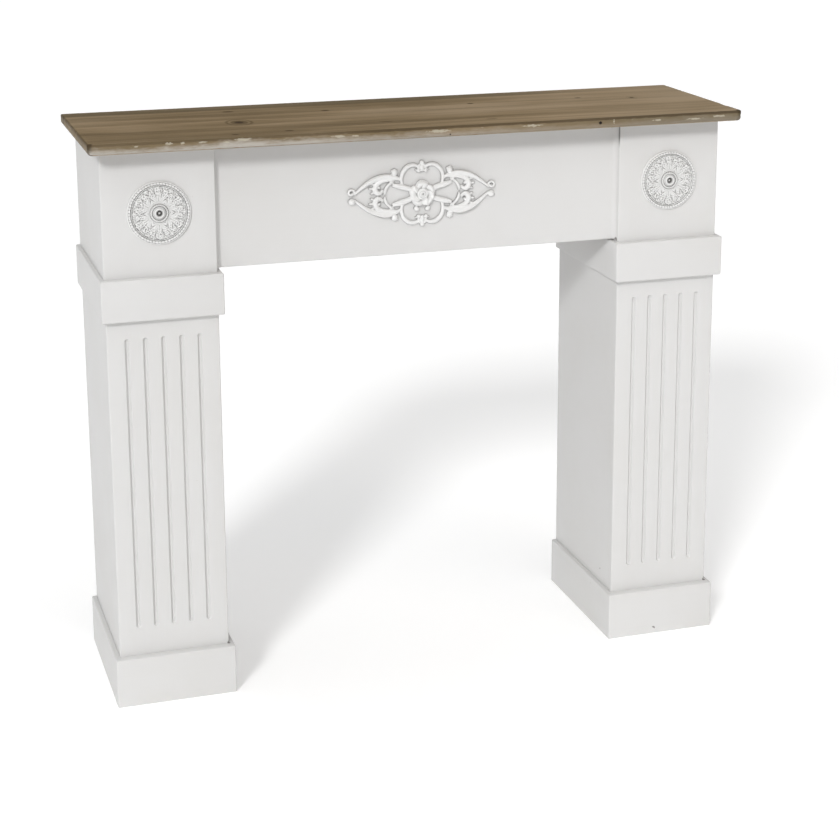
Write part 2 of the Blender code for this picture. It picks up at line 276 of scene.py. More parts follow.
# Small marks in the paint, and painted shade: a dent, a nail head, and dark spots of painted shade in the
# gap under the frieze's right-hand corner and where two bases' tops meet their columns. Each gives across,
# deep, up, half width, and how far off that point a short dent lies
MARKS_AND_SHADES = ((0.4238, -0.1251, 0.0098, 0.0014, 0.004), (0.346, -0.0619, 0.1081, 0.0018, 0),
         (0.3445, -0.1075, 0.7275, 0.0042, 0), (0.5281, -0.1135, 0.084, 0.0042, 0),
         (-0.3459, -0.1135, 0.084, 0.0036, 0))
# How fine the brush marks are, along the brush and across it
BRUSH_ALONG = 7.0
BRUSH_ACROSS = 260.0


def paint_finish(name, along, settings):
    """Matt white paint whose brush marks run along one axis, with chips, dents, a nail head, open joints
    and spots of painted shade in small gaps.
    """
    finish = Finish(name)
    ease, fade, blend, grain = finish.ease, finish.fade, finish.blend, finish.grain
    place = finish.place()
    x, y, z = finish.axes(place)
    stretch = [BRUSH_ALONG if letter == along else BRUSH_ACROSS for letter in "XYZ"]
    brush = grain(place, stretch, roughness=0.55)
    mottle = grain(place, (5, 5, 5), detail=4, roughness=0.6)
    stipple = grain(place, (900, 900, 900), detail=2)
    thin = ease(mottle * 0.85 + brush * 0.15, 0.4, 0.7)
    floor_soil = ease(z, 0, 0.035, 0.5, 0) * ease(mottle, 0.35, 0.6)
    colour = blend((thin * 0.55 + floor_soil).least(1), settings.colour, settings.thin_colour)
    chips = grain(place, (70, 70, 70), detail=4, roughness=0.7)
    chipped = ease(chips + fade(z, 0, 0.012) * 0.07, 0.735, 0.75)
    colour = blend(chipped * 0.6, colour, settings.bare_colour)
    # Marks, and spots of painted shade in small gaps between parts
    for across, deep, up, radius, off in MARKS_AND_SHADES:
        away = ((x - across) ** 2 + (y - deep) ** 2 + (z - up) ** 2) ** 0.5 + (chips - 0.5) * radius
        mark = fade(abs(away - off), radius * 0.5, radius)
        upper = ease(z - up + (x - across) * 0.7, -off * 0.2, off * 0.3) if off else 1
        colour = blend(mark * upper * 0.85, colour, settings.mark_and_shade_colour)
    for across, deep, low, high in CREVICES:
        gap = fade(abs(x - across), 0.0006, 0.0014) * fade(abs(y - deep), 0.0012, 0.0028)
        gap = gap * ease(z, low - 0.01, low + 0.01) * fade(z, high, high + 0.002)
        colour = blend(gap * 0.8, colour, settings.mark_and_shade_colour)
    roughness = settings.roughness + (mottle - 0.5) * 0.16 + (stipple - 0.5) * 0.08
    height = brush * 0.75 + stipple * 0.25 - chipped * 0.6
    finish.wear(colour, roughness, finish.bump(height, settings.brush_height, 0.55))
    return finish.material


def casting_finish(settings):
    """Matt white paint on a casting, with painted shade that darkens the hollows of the carving."""
    finish = Finish("chalky_casting_paint")
    place = finish.place()
    hollow = finish.node("ShaderNodeAttribute", {"attribute_name": "hollow"}, output=2)
    speckle = finish.grain(place, (320, 320, 320))
    cloud = finish.grain(place, (60, 60, 60))
    # Painted shade: each point is darkened, patchily, by how hollow it lies
    hollow_shade = (hollow * (cloud * 0.5 + 0.75)).least(1)
    colour = finish.blend(hollow_shade, settings.colour, settings.hollow_shade_colour)
    roughness = 0.56 + (speckle - 0.5) * 0.2
    finish.wear(colour, roughness, finish.bump(speckle, 0.0003, 0.5))
    return finish.material


# Roundings of the shelf, in metres: its corners seen from above, its lower edge and its upper edge
SHELF_CORNER = 0.007
SHELF_NOSE = 0.0075
SHELF_TOP_ROUND = 0.0022

# Knots of the shelf top: across, back and length of each, in metres
KNOTS = ((-0.285, -0.0185, 0.012), (0.43, 0.035, 0.005))
# Short dark cracks and rubbed spots: across, back, half length and half width
CRACKS = ((-0.28, 0.0964, 0.012, 0.006), (-0.1205, 0.0596, 0.009, 0.006),
          (0.137, 0.056, 0.007, 0.0055), (0.3376, 0.0598, 0.0075, 0.0042),
          (-0.226, -0.1229, 0.009, 0.0045), (-0.3154, -0.1335, 0.008, 0.004),
          (-0.5465, -0.1555, 0.006, 0.007), (0.545, -0.156, 0.006, 0.007),
          (0.118, -0.112, 0.012, 0.0022), (-0.055, -0.085, 0.016, 0.0024))
# Scraps of pale paint on the front edge: across, up and their half sizes
SCRAPS = ((-0.476, 0.9412, 0.004, 0.0014), (-0.4252, 0.943, 0.007, 0.0022),
          (-0.404, 0.9428, 0.004, 0.0016), (-0.372, 0.9425, 0.008, 0.0014),
          (-0.3093, 0.9435, 0.012, 0.0024), (-0.335, 0.9405, 0.006, 0.0012),
          (-0.155, 0.94, 0.012, 0.0018), (-0.1265, 0.9395, 0.006, 0.0016),
          (0.0122, 0.9398, 0.018, 0.0026), (0.1724, 0.9405, 0.016, 0.0022),
          (0.3154, 0.9405, 0.0016, 0.0044), (0.4626, 0.9375, 0.014, 0.0016),
          (0.395, 0.9385, 0.008, 0.0014), (0.506, 0.94, 0.01, 0.0018))
# Old nail holes in the front edge: across, up and radius
NAIL_HOLES = ((0.292, 0.9388, 0.003), (0.0309, 0.9335, 0.0014))


def oval(across, up, half_across, half_up):
    """How far out a point lies from the middle of an oval, with 1 on its rim."""
    return ((across / half_across) ** 2 + (up / half_up) ** 2) ** 0.5


def grain_colour(finish, place, settings):
    """The bare wood: its colour, how dark its knots and cracks are, its streaks and its fibres."""
    ease, fade, blend, grain = finish.ease, finish.fade, finish.blend, finish.grain
    x, y, z = finish.axes(place)
    wander = grain(place, (1.7, 6, 6), detail=2) - 0.5
    flow = y + wander * 0.03
    knots = 0
    rings = 0
    for across, back, size in KNOTS:
        away = oval(x - across, y - back, size * 1.7, size * 2.3)
        near = ((x - across) / (size * 7)) ** 2 + ((y - back) / (size * 3.4)) ** 2
        push = (y - back) / size
        flow = flow - push.maths("TANH", push) * fade(near, 0, 1) * size * 0.9
        knots = knots + fade(away, 0.28, 0.52)
        turns = away * 13 + wander * 6
        rings = rings + fade(away, 0.9, 1.3) * (turns.maths("SINE", turns) * 0.5 + 0.5)
    bands = grain(finish.vector(x * 1.3, flow * 42, z * 42))
    streaks = grain(finish.vector(x * 4, flow * 170, z * 170), detail=4, roughness=0.6)
    fibres = grain(finish.vector(x * 18, flow * 950, z * 950), roughness=0.6)
    patches = grain(place, (3.5, 9, 9))
    tone = bands * 0.42 + streaks * 0.20 + fibres * 0.08 + patches * 0.30
    tone = ease(tone, 0.34, 0.66) * 0.72 + (streaks - 0.5) * 0.36 - rings * 0.50 + 0.12
    tone = tone + ease(x, 0, 0.5, 0, 0.32)
    colour = finish.ramp(tone, ((0, settings.dark), (0.45, settings.middle), (1, settings.pale)))
    greyed = ease(patches, 0.45, 0.7) * 0.25 + ease(x, 0.1, 0.5, 0, 0.25)
    colour = blend(greyed, colour, settings.greyed)
    back_line = 0.121 + wander * 0.016 + (patches - 0.5) * 0.012
    back = ease(y - back_line, -0.004, 0.004) * ease(x, 0.2, 0.4, 0.62, 0.2)
    colour = blend(back, colour, settings.back_strip)
    seam = ease(abs(y - back_line + 0.003), 0, 0.004, 0.5, 0) * fade(x, 0.1, 0.3)
    cracks = seam * ease(streaks, 0.4, 0.6)
    for across, back, half, thin in CRACKS:
        cracks = cracks + fade(oval(x - across, y - back, half, thin), 0.5, 1.05)
    dark = (knots * 0.9 + cracks * 0.95 + ease(fibres, 0.68, 0.74) * 0.35).least(1)
    return blend(dark, colour, settings.stain), dark, streaks, fibres


def wood_finish(settings):
    """Weathered wood: long grain, knots and cracks on top, old paint and a dark line on the edge."""
    finish = Finish("weathered_wood")
    ease, fade, blend, grain = finish.ease, finish.fade, finish.blend, finish.grain
    place = finish.place()
    colour, dark, streaks, fibres = grain_colour(finish, place, settings)
    x, y, z = finish.axes(place)
    up = (z - SHELF_LOW.z) / (SHELF_HIGH.z - SHELF_LOW.z)
    from_front = y - SHELF_LOW.y
    from_edge = from_front.least(SHELF_HIGH.x - abs(x))
    ragged = grain(place, (38, 38, 160), detail=4, roughness=0.65)
    scraps = grain(place, (60, 60, 150), roughness=0.6)
    flecks = grain(place, (170, 170, 420), roughness=0.6)
    rub = grain(place, (7, 7, 7), detail=2)
    worn = blend(ease(x, 0, 0.5, 0.35, 0.74), colour, settings.rubbed)
    line = ease(up + (ragged - 0.5) * 0.24, 0.72, 0.82) * fade(up, 0.985, 1)
    line = line * ease(x, -0.4, 0.1, 0.42, 0.66)
    worn = blend(line, worn, settings.stain)
    washed = fade(up + (ragged - 0.5) * 0.9 + (rub - 0.5) * 0.9, 0.10, 0.80)
    washed = washed * ease(x, -0.35, 0.30, 1, 0.22)
    # Painted shade: most of the pale wash is left off the left end, to darken it as the shadow on it
    shaded_left_end = fade(x, -0.5485, -0.545)
    worn = blend(washed * (1 - shaded_left_end * 0.7), worn, settings.wash)
    scrap = ease(scraps, 0.70, 0.76) * ease(up, 0.25, 0.45) * fade(up, 0.8, 0.9) * 0.6
    on_front = fade(from_front, 0.003, 0.005)
    for across, height, wide, tall in SCRAPS:
        away = oval(x - across, z - height, wide, tall) + (flecks - 0.5) * 2.6
        scrap = scrap.most(fade(away, 0.6, 1.1) * on_front)
    worn = blend(scrap * 0.75, worn, settings.scrap)
    edge = fade(from_edge, 0.0024, 0.0034)
    colour = blend(edge, colour, worn)
    under = fade(up, 0.01, 0.06) * ease(from_edge, 0.004, 0.012)
    colour = blend(under * 0.6, colour, settings.dark)
    front = fade(from_front, 0.004, 0.006)
    for across, height, radius in NAIL_HOLES:
        away = ((x - across) ** 2 + (z - height) ** 2) ** 0.5
        colour = blend(front * fade(away, radius * 0.7, radius), colour, settings.hole)
    roughness = settings.roughness + (streaks - 0.5) * 0.2 + dark * 0.1
    height = streaks * 0.4 + fibres * 0.6 - dark * 0.5 + scrap * edge * 0.5
    finish.wear(colour, roughness, finish.bump(height, 0.0006, 0.6), 0.15)
    return finish.material


def put(name, data):
    """Puts a new object in the scene."""
    item = bpy.data.objects.new(name, data)
    bpy.context.scene.collection.objects.link(item)
    return item


def solid(name, bm):
    """Makes a bmesh an object of the scene."""
    mesh = bpy.data.meshes.new(name)
    bm.to_mesh(mesh)
    bm.free()
    return put(name, mesh)


def evaluated(item):
    """Takes the mesh that an object shows and removes the object."""
    mesh = bpy.data.meshes.new_from_object(item.evaluated_get(bpy.context.evaluated_depsgraph_get()))
    bpy.data.objects.remove(item, do_unlink=True)
    return mesh


def lift(name, bm, material, node, smooth=30.0, hollows=None):
    """Makes a finished piece of a bmesh that stands for a node, and stores how hollow each point is, for
    painted shade.
    """
    item = solid(name, bm)
    if hollows:
        item.data.attributes.new("hollow", "FLOAT", "POINT").data.foreach_set("value", hollows)
    item.data.materials.append(material)
    item.data.shade_smooth()
    item.data.set_sharp_from_angle(angle=math.radians(smooth))
    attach(item, BODY)
    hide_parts(node)


def block(low, high):
    """A bmesh box between two corners."""
    bm = bmesh.new()
    size = high - low
    place = Matrix.Translation((low + high) / 2) @ Matrix.Diagonal((*size, 1))
    bmesh.ops.create_cube(bm, size=1, matrix=place)
    return bm


def face_side(face):
    """The side of a box that a face is on, such as -Y."""
    axis = max(range(3), key=lambda index: abs(face.normal[index]))
    return ("+" if face.normal[axis] > 0 else "-") + "XYZ"[axis]


def round_edges(bm, edges, width, segments):
    """Rounds the edges given."""
    bmesh.ops.bevel(bm, geom=edges, offset=width, segments=segments, profile=0.5,
                    affect="EDGES", clamp_overlap=True, material=-1)


def shown_edges(bm, shown):
    """The edges between two of the sides that show."""
    return [edge for edge in bm.edges if all(face_side(face) in shown for face in edge.link_faces)]


# Facets of a painted arris
ARRIS_STEPS = 4


def ease_arrises(bm, shown, arris):
    """Eases the arrises between the sides that show."""
    round_edges(bm, shown_edges(bm, shown), arris, ARRIS_STEPS)


def all_parts(bm):
    """Every point, edge and face of a mesh."""
    return bm.verts[:] + bm.edges[:] + bm.faces[:]


def front_parts(bm):
    """The faces of a mesh that look to the front, with their edges and points."""
    front = [face for face in bm.faces if face.normal.y < -0.99]
    return list({*front, *(edge for face in front for edge in face.edges),
                 *(vert for face in front for vert in face.verts)})


def divide(bm, axis, places, chosen=all_parts):
    """Cuts the chosen parts of a mesh across one axis at each of the places."""
    normal = Vector([float(letter == axis) for letter in "XYZ"])
    for place in places:
        bmesh.ops.bisect_plane(bm, geom=chosen(bm), plane_co=normal * place, plane_no=normal, dist=1e-6)


def painted_board(node, shown, material, arris):
    """A board or strip with eased arrises between the sides that show."""
    bm = block(*corners(node))
    ease_arrises(bm, shown, arris)
    lift(node + "_painted", bm, material, node)


# Paint that fills each end joint of the frieze, and the radius and facets of the fillet it makes there
JOINT_FILL = 0.00028
FILLET = 0.0092
FILLET_TURNS = range(15, 91, 15)


def frieze(material, arris):
    """The board across the opening, with a fillet of thick paint in the corner at each end."""
    low, high = corners("frieze_board")
    low.x -= JOINT_FILL
    high.x += JOINT_FILL
    bm = block(low, high)
    ease_arrises(bm, ("-Y", "-Z"), arris)
    steps = [FILLET * (1 - math.cos(math.radians(angle))) for angle in FILLET_TURNS]
    divide(bm, "X", [low.x + step for step in steps] + [high.x - step for step in steps])
    middle = (low.y + high.y) / 2
    for vert in bm.verts:
        inside = min(vert.co.x - low.x, high.x - vert.co.x)
        if vert.co.y < middle and inside < FILLET:
            vert.co.y -= FILLET - math.sqrt(FILLET ** 2 - (FILLET - inside) ** 2)
    lift("frieze_board_painted", bm, material, "frieze_board", smooth=50.0)


# Flutes of a column's front board, in metres
FLUTES = 5
FLUTE_HALF = 0.0037
FLUTE_DEPTH = 0.0050
FLUTE_EDGE = 0.0325
FLUTE_FOOT = 0.1305
FLUTE_HEAD = 0.6246
FLUTE_LIP = 0.00055
# How full their section is: 2 makes a round hollow and 1 a V
FLUTE_FULLNESS = 1.6
# Cuts that divide the board for them: how many across a flute or at an end, the reach and inset of those
# at an end, and the middle, reach and number of those between
FLUTE_CUTS = 26
FLUTE_END_REACH = 0.0055
FLUTE_END_INSET = 0.003
FLUTE_RUN = (0.378, 0.23, 12)


def flute_depth(across, up, centres):
    """How deep the flutes cut at a point of the board's front."""
    nearest = min(centres, key=lambda centre: abs(across - centre))
    middle = min(max(up, FLUTE_FOOT + FLUTE_HALF), FLUTE_HEAD - FLUTE_HALF)
    away = math.hypot(across - nearest, up - middle)
    share = min((FLUTE_HALF + FLUTE_LIP - away) / (2 * FLUTE_LIP), 1.0)
    if share <= 0:
        return 0.0
    inner = min(away, FLUTE_HALF - FLUTE_LIP)
    return FLUTE_DEPTH * (1 - (inner / FLUTE_HALF) ** FLUTE_FULLNESS) * share ** FLUTE_FULLNESS


def cut_lines(low, high, marks):
    """Sorted cut places between two ends, with evenly spaced lines round each mark."""
    lines = set()
    for centre, reach, count in marks:
        for index in range(count + 1):
            place = centre - reach + 2 * reach * index / count
            if low + 1e-5 < place < high - 1e-5:
                lines.add(round(place, 6))
    return sorted(lines)


def fluted_board(side, material, arris):
    """A column's front board, with its stopped flutes cut into a finely divided face."""
    node = "column_front_" + side
    low, high = corners(node)
    pitch = (high.x - low.x - 2 * FLUTE_EDGE) / (FLUTES - 1)
    centres = [low.x + FLUTE_EDGE + index * pitch for index in range(FLUTES)]
    reach = FLUTE_HALF + 2 * FLUTE_LIP
    bm = block(low, high)
    ease_arrises(bm, FRONT_AND_ENDS, arris)
    across = [(centre, reach, FLUTE_CUTS) for centre in centres]
    ends = [(end, FLUTE_END_REACH, FLUTE_CUTS)
            for end in (FLUTE_FOOT + FLUTE_END_INSET, FLUTE_HEAD - FLUTE_END_INSET)]
    divide(bm, "X", cut_lines(low.x, high.x, across), front_parts)
    divide(bm, "Z", cut_lines(low.z, high.z, [*ends, FLUTE_RUN]), front_parts)
    for vert in bm.verts:
        if vert.co.y < low.y + 1e-6:
            vert.co.y += flute_depth(vert.co.x, vert.co.z, centres)
    lift(node + "_painted", bm, material, node, smooth=60.0)


# Cuts that divide the shelf to show its wear: start, step and number from the front and from the left,
# and shares of its thickness
SHELF_CUTS_BACK = (0.008, 0.0055, 55)
SHELF_CUTS_ACROSS = (0.008, 0.0027, 402)
SHELF_CUTS_UP = (0.45, 0.52, 0.59, 0.66, 0.73, 0.8)
# How far in the edge is worn, and how deep a nail hole goes for its radius
WORN_ZONE = 0.009
HOLE_DEPTH = 1.3


def spaced(origin, start, step, count):
    """Evenly spaced places off an origin."""
    return [origin + start + step * index for index in range(count)]


def worn_shelf(material, settings):
    """The shelf: rounded along its front and ends, dented and rubbed along the edge."""
    low, high = SHELF_LOW, SHELF_HIGH
    bm = block(low, high)
    round_edges(bm, shown_edges(bm, FRONT_AND_ENDS), SHELF_CORNER, 8)
    for side, width, segments in ((-1, SHELF_NOSE, 10), (1, SHELF_TOP_ROUND, 5)):
        rim = [edge for edge in bm.edges
               if len([face for face in edge.link_faces if face.normal.z * side > 0.9]) == 1
               and not any(face.normal.y > 0.9 for face in edge.link_faces)]
        round_edges(bm, rim, width, segments)
    divide(bm, "Y", spaced(low.y, *SHELF_CUTS_BACK))
    divide(bm, "Z", [low.z + share * (high.z - low.z) for share in SHELF_CUTS_UP])
    divide(bm, "X", spaced(low.x, *SHELF_CUTS_ACROSS))
    middle = (low.z + high.z) / 2
    for vert in bm.verts:
        x, y, z = vert.co
        from_edge = min(y - low.y, high.x - abs(x))
        if from_edge > WORN_ZONE:
            continue
        near = (1 - from_edge / WORN_ZONE) ** 0.7
        rub = noise.noise(Vector((x * 22, y * 22, z * 60))) * 0.5 + 0.5
        nick = max(0.0, noise.noise(Vector((x * 75 + 7, y * 75, z * 140))) - 0.30) * 2.4
        depth = settings.wear * near * (0.35 * rub + nick)
        inward = Vector((0, 1, 0)) if y - low.y < high.x - abs(x) else Vector((-math.copysign(1, x), 0, 0))
        vert.co += inward * depth
        if z > middle:
            vert.co.z -= depth * 0.5
        for across, height, radius in NAIL_HOLES:
            hole = math.hypot(x - across, z - height)
            if hole < radius and y < low.y + 0.004:
                vert.co.y += HOLE_DEPTH * radius * (1 - hole / radius) ** 0.5
    lift("mantel_shelf_worn", bm, material, "mantel_shelf", smooth=55.0)


def bell(value, width):
    """A smooth hill of height 1 round 0."""
    return math.exp(-(value / width) ** 2)


def step_up(value, low, high):
    """Goes smoothly from 0 to 1 between two values."""
    share = min(max((value - low) / (high - low), 0.0), 1.0)
    return share * share * (3 - 2 * share)


# Radii of a rosette's parts, in the millimetres of its drawing
ROSETTE_RADIUS = 51.0
RIM = 49.3
BEAD_RING = 47.1
LEAF_END = 44.9
INNER_RING = 43.7
ROPE_RING = 12.8
BUTTON_RING = 6.7
EYELET = 4.6
# Its large and small leaves: how far out the root is, and the length
LARGE_LEAF = (15.0, 28.4)
SMALL_LEAF = (25.0, 18.0)
# Half the angle that a leaf spans at its root in radians, and how often its lobes and veins repeat
LEAF_SPREAD = 1.45
LEAF_LOBES = 4.6
LEAF_VEINS = 13.8
# Rings that it is divided into, closest where the relief is finest: start, step and number
ROSETTE_RINGS = ((0.0, 0.4, 26), (10.4, 0.5, 12), (16.4, 0.42, 62), (42.44, 0.27, 31))
# How far off the neighbours lie that tell how hollow a point is
NEIGHBOUR = 1.1


def leaf_relief(radius, angle, root, reach):
    """Height of one frilled acanthus leaf in millimetres, at an angle from its middle, and 0 outside it."""
    along = radius * math.cos(angle) - root
    aside = radius * math.sin(angle)
    away = math.hypot(along, aside)
    turn = abs(math.atan2(aside, along))
    if turn > LEAF_SPREAD or away < 0.01:
        return 0.0
    lobe = abs(math.cos(LEAF_LOBES * turn))
    outline = reach * (0.60 + 0.40 * math.cos(1.15 * turn)) * (0.84 + 0.16 * lobe ** 0.6)
    share = away / outline
    if share >= 1:
        return 0.0
    crease = (1 - lobe) ** 1.6
    body = (0.9 + 2.6 * share) * (1 - share ** 7) ** 0.5
    fine = 0.9 * abs(math.sin(LEAF_VEINS * turn)) * step_up(share, 0.45, 0.75)
    eye = 2.4 * bell(share - 0.70, 0.09) * bell(1 - lobe, 0.30) if lobe < 0.5 else 0.0
    pearl = 1.1 * bell(share - 0.88, 0.09) * lobe
    rib = 0.8 * bell(aside, 0.8) * (1 - share)
    return max(0.0, body - 2.3 * crease * step_up(share, 0.25, 0.75) - fine - eye + pearl - rib)


def rosette_relief(radius, angle, settings):
    """Height of a rosette's face above its back at a point, in millimetres."""
    if radius >= RIM:
        return 3.5 * (1 - step_up(radius, 50.2, ROSETTE_RADIUS) * 0.45)
    if radius > LEAF_END:
        pitch = 2 * math.pi / settings.beads
        aside = ((angle + pitch / 2) % pitch - pitch / 2) * BEAD_RING
        bead = 1 - ((radius - BEAD_RING) / 2.1) ** 2 - (aside / 2.5) ** 2
        return 2.7 + 2.4 * math.sqrt(max(0.0, bead))
    if radius < EYELET:
        pin = 4.6 - (radius / 3.1) ** 2 if radius < 3.1 else 0.0
        return max(1.2 + 4.4 * step_up(radius, 4.0, EYELET), pin)
    height = 2.2
    if radius > 12:
        pitch = 2 * math.pi / settings.leaves
        large = leaf_relief(radius, angle % pitch - pitch / 2, *LARGE_LEAF)
        small = leaf_relief(radius, (angle + pitch / 2) % pitch - pitch / 2, *SMALL_LEAF)
        rough = noise.noise(Vector((radius * math.cos(angle), radius * math.sin(angle), 3.0)) * 0.42)
        height = 2.2 + max(large, 0.72 * small) + 1.5 * rough * step_up(radius, 22, 31)
        height = max(height, 4.0 - 1.8 * step_up(radius, 15, 25))
    rope = 0.5 + 0.5 * math.cos(26 * angle + (radius - 13) * 1.5)
    height = max(height, 6.8 * bell(radius - ROPE_RING, 2.6) + 1.1 * rope * bell(radius - ROPE_RING, 1.6))
    button = 5.0 + 3.4 * bell(radius - BUTTON_RING, 2.0)
    if radius <= 8.8:
        height = button
    elif radius < 10.5:
        height = max(height, button)
    return max(height, 4.4 * bell(radius - INNER_RING, 0.9))


def rosette_shade(radius, angle, height, settings):
    """How much painted shade a point of a rosette's face gets: more the more hollow it lies next to the
    points around it, and most in the eyelet.
    """
    if radius >= 49.6:
        return 0.0
    around = [rosette_relief(radius + out, angle + turn / max(radius, 2.0), settings)
              for out, turn in ((NEIGHBOUR, 0), (-NEIGHBOUR, 0), (0, NEIGHBOUR), (0, -NEIGHBOUR))
              if radius + out > 0]
    sunk = sum(around) / len(around) - height
    share = 0.55 if radius > LEAF_END else 1.0
    # Painted shade: darker in the hollows, and darkest in the eyelet
    return share * min(1.0, max(0.0, sunk * 1.25 + 0.20)) + 1.4 * bell(radius - 3.0, 1.7)


def rosette(side, material, settings):
    """A cast rosette: a disc spun round its middle, then carved by its relief."""
    node = "rosette_" + side
    low, high = corners(node)
    middle = (low + high) / 2
    scale = (high.x - low.x) / (2 * ROSETTE_RADIUS)
    radii = [start + step * index for start, step, count in ROSETTE_RINGS for index in range(1, count + 1)]
    bm = bmesh.new()
    profile = [bm.verts.new((radius, 0, 1)) for radius in (0, *radii, ROSETTE_RADIUS)]
    profile += [bm.verts.new((ROSETTE_RADIUS, 0, 0)), bm.verts.new((0, 0, 0))]
    for start, end in zip(profile, profile[1:]):
        bm.edges.new((start, end))
    bmesh.ops.spin(bm, geom=bm.verts[:] + bm.edges[:], cent=(0, 0, 0), axis=(0, 0, 1),
                   angle=2 * math.pi, steps=settings.steps, use_merge=True)
    bmesh.ops.remove_doubles(bm, verts=bm.verts, dist=1e-4)
    bmesh.ops.recalc_face_normals(bm, faces=bm.faces)
    hollows = []
    for vert in bm.verts:
        if vert.co.z < 0.5:
            hollows.append(0.0)
            continue
        radius = math.hypot(vert.co.x, vert.co.y)
        angle = math.atan2(vert.co.y, vert.co.x)
        vert.co.z = rosette_relief(radius, angle, settings)
        hollows.append(rosette_shade(radius, angle, vert.co.z, settings))
    place = Matrix.Translation((middle.x, high.y, middle.z))
    upright = place @ Matrix.Rotation(math.radians(90), 4, "X") @ Matrix.Scale(scale, 4)
    bmesh.ops.transform(bm, matrix=upright, verts=bm.verts)
    lift(node + "_carved", bm, material, node, 50.0, hollows)


def smooth_path(points, steps):
    """Samples along a smooth curve through the points, each a tuple of numbers."""
    ends = [points[0], *points, points[-1]]
    path = []
    for before, start, end, after in zip(ends, ends[1:], ends[2:], ends[3:]):
        for step in range(steps):
            t = step / steps
            path.append(tuple(
                0.5 * (2 * b + (c - a) * t + (2 * a - 5 * b + 4 * c - d) * t ** 2
                       + (3 * b - a - 3 * c + d) * t ** 3)
                for a, b, c, d in zip(before, start, end, after)))
    path.append(tuple(points[-1]))
    return path


def add_strand(curve, points, steps=6):
    """Adds a strand to a curve: points are across, up, half width and lift, in millimetres."""
    path = smooth_path([point if len(point) == 4 else (*point, 0.0) for point in points], steps)
    spline = curve.splines.new("POLY")
    spline.points.add(len(path) - 1)
    for point, (across, up, half_width, raised) in zip(spline.points, path):
        point.co = (across, -raised, up, 1)
        point.radius = half_width


def add_ball(bm, across, up, sizes, turn=0.0, raised=0.0):
    """Adds a rounded lobe: half sizes across, out and up, turned in the board's plane."""
    ball = bmesh.ops.create_uvsphere(bm, u_segments=20, v_segments=12, radius=1)["verts"]
    form = Matrix.Translation((across, -raised, up)) @ Matrix.Rotation(-turn, 4, "Y")
    bmesh.ops.transform(bm, matrix=form @ Matrix.Diagonal((*sizes, 1)), verts=ball)


# Strands of one quarter of the scroll, in the millimetres of its drawing: across, up, half width and lift
WING = ((114, 4, 2.3), (101, 15, 3.5), (85, 25, 4.5), (67, 30.5, 4.9), (50, 30, 4.3), (37, 25, 3.0))
WING_CREST = ((97, 19.5, 1.0, 3.4), (83, 28, 1.4, 4.4), (66, 33.5, 1.4, 4.6), (52, 33, 1.0, 4.0))
LOBE = ((31, 11, 2.4), (35, 23, 3.2), (33, 36, 3.8), (24, 45.5, 4.0), (13, 47.5, 3.5), (6, 43.5, 2.8),
        (8, 38.5, 2.2), (12, 40, 1.9))
LEAF = ((11, 4, 4.0), (24, 9.5, 4.8), (38, 13.5, 4.9), (50, 16.5, 3.3))
INNER = ((41, 26, 2.4), (54, 26, 3.4), (67, 24, 4.0), (77, 18, 4.4), (79, 9.5, 4.9), (74.5, 4.6, 4.5),
         (68.5, 6.0, 3.0), (67.5, 10.5, 2.1))
FROND = ((47, 22.5, 1.8), (56, 17.5, 2.8), (61.5, 10, 3.0), (63.0, 1.5, 2.3))
# Leaflets along the inner scroll: across, up, half length, half width, direction in degrees
LEAFLETS = ((84.5, 20.5, 4.6, 2.4, 25), (86.0, 12.5, 4.8, 2.5, 5), (84.0, 4.6, 4.0, 2.3, -15),
            (72.5, 13.5, 3.4, 2.6, 60), (52.5, 21.5, 4.4, 2.6, 240))
# Length of the drawing, and how deep a strand is for its width
SCROLL_LENGTH = 252.0
STRAND_DEPTH = 1.35


def volute():
    """The curled tip of the upper wing: a spiral that rises a little towards its eye."""
    points = []
    for index in range(15):
        share = index / 14
        angle = math.radians(215 - 400 * share)
        radius = 6.4 - 4.2 * share
        points.append((119.0 + radius * math.cos(angle), 7.5 + radius * math.sin(angle),
                       2.5 - 0.5 * share, 1.5 * share))
    return points


def scroll_parts(bm, curve):
    """Adds every strand and lobe of the scroll, drawn for one quarter and turned to all four."""
    for right in (-1, 1):
        for above in (-1, 1):
            def turned(points, right=right, above=above):
                return [(right * point[0], above * point[1], *point[2:]) for point in points]
            for strand in (WING, WING_CREST, LOBE, LEAF, INNER, FROND):
                add_strand(curve, turned(strand))
            for across, up, half, width, way in LEAFLETS:
                turn = math.atan2(above * math.sin(math.radians(way)), right * math.cos(math.radians(way)))
                add_ball(bm, right * across, above * up, (half, 3.4, width), turn)
            add_ball(bm, right * 46.5, above * 37, (5.6, 6.6, 5.6))
            for way in (35, 90, 145):
                lean = math.radians(way)
                add_ball(bm, right * (46.5 + 4.2 * math.cos(lean)), above * (37 + 4.2 * math.sin(lean)),
                         (2.6, 4.6, 2.6))
            if above > 0:
                add_strand(curve, turned(volute()), steps=2)
            else:
                add_ball(bm, right * 118, above * 7, (6.2, 6.6, 5.8))
                add_ball(bm, right * 9.5, above * 25.0, (5.4, 5.2, 4.0), right * 0.5)
    for above in (-1, 1):
        add_ball(bm, 0, above * 51, (4.4, 5.5, 4.0))
        add_ball(bm, 0, above * 42, (3.6, 6.2, 7.0))
        for right in (-1, 1):
            add_ball(bm, right * 4.6, above * 47.0, (2.4, 4.8, 2.4))
            add_ball(bm, right * 6.0, above * 37.0, (3.6, 5.4, 2.8), -right * above * 0.5)
    for index in range(5):
        angle = math.radians(90 + 72 * index)
        add_ball(bm, 13.8 * math.cos(angle), 13.8 * math.sin(angle), (9.4, 7.4, 10.2), angle)
    add_ball(bm, 0, 0, (12.5, 9.0, 12.5))


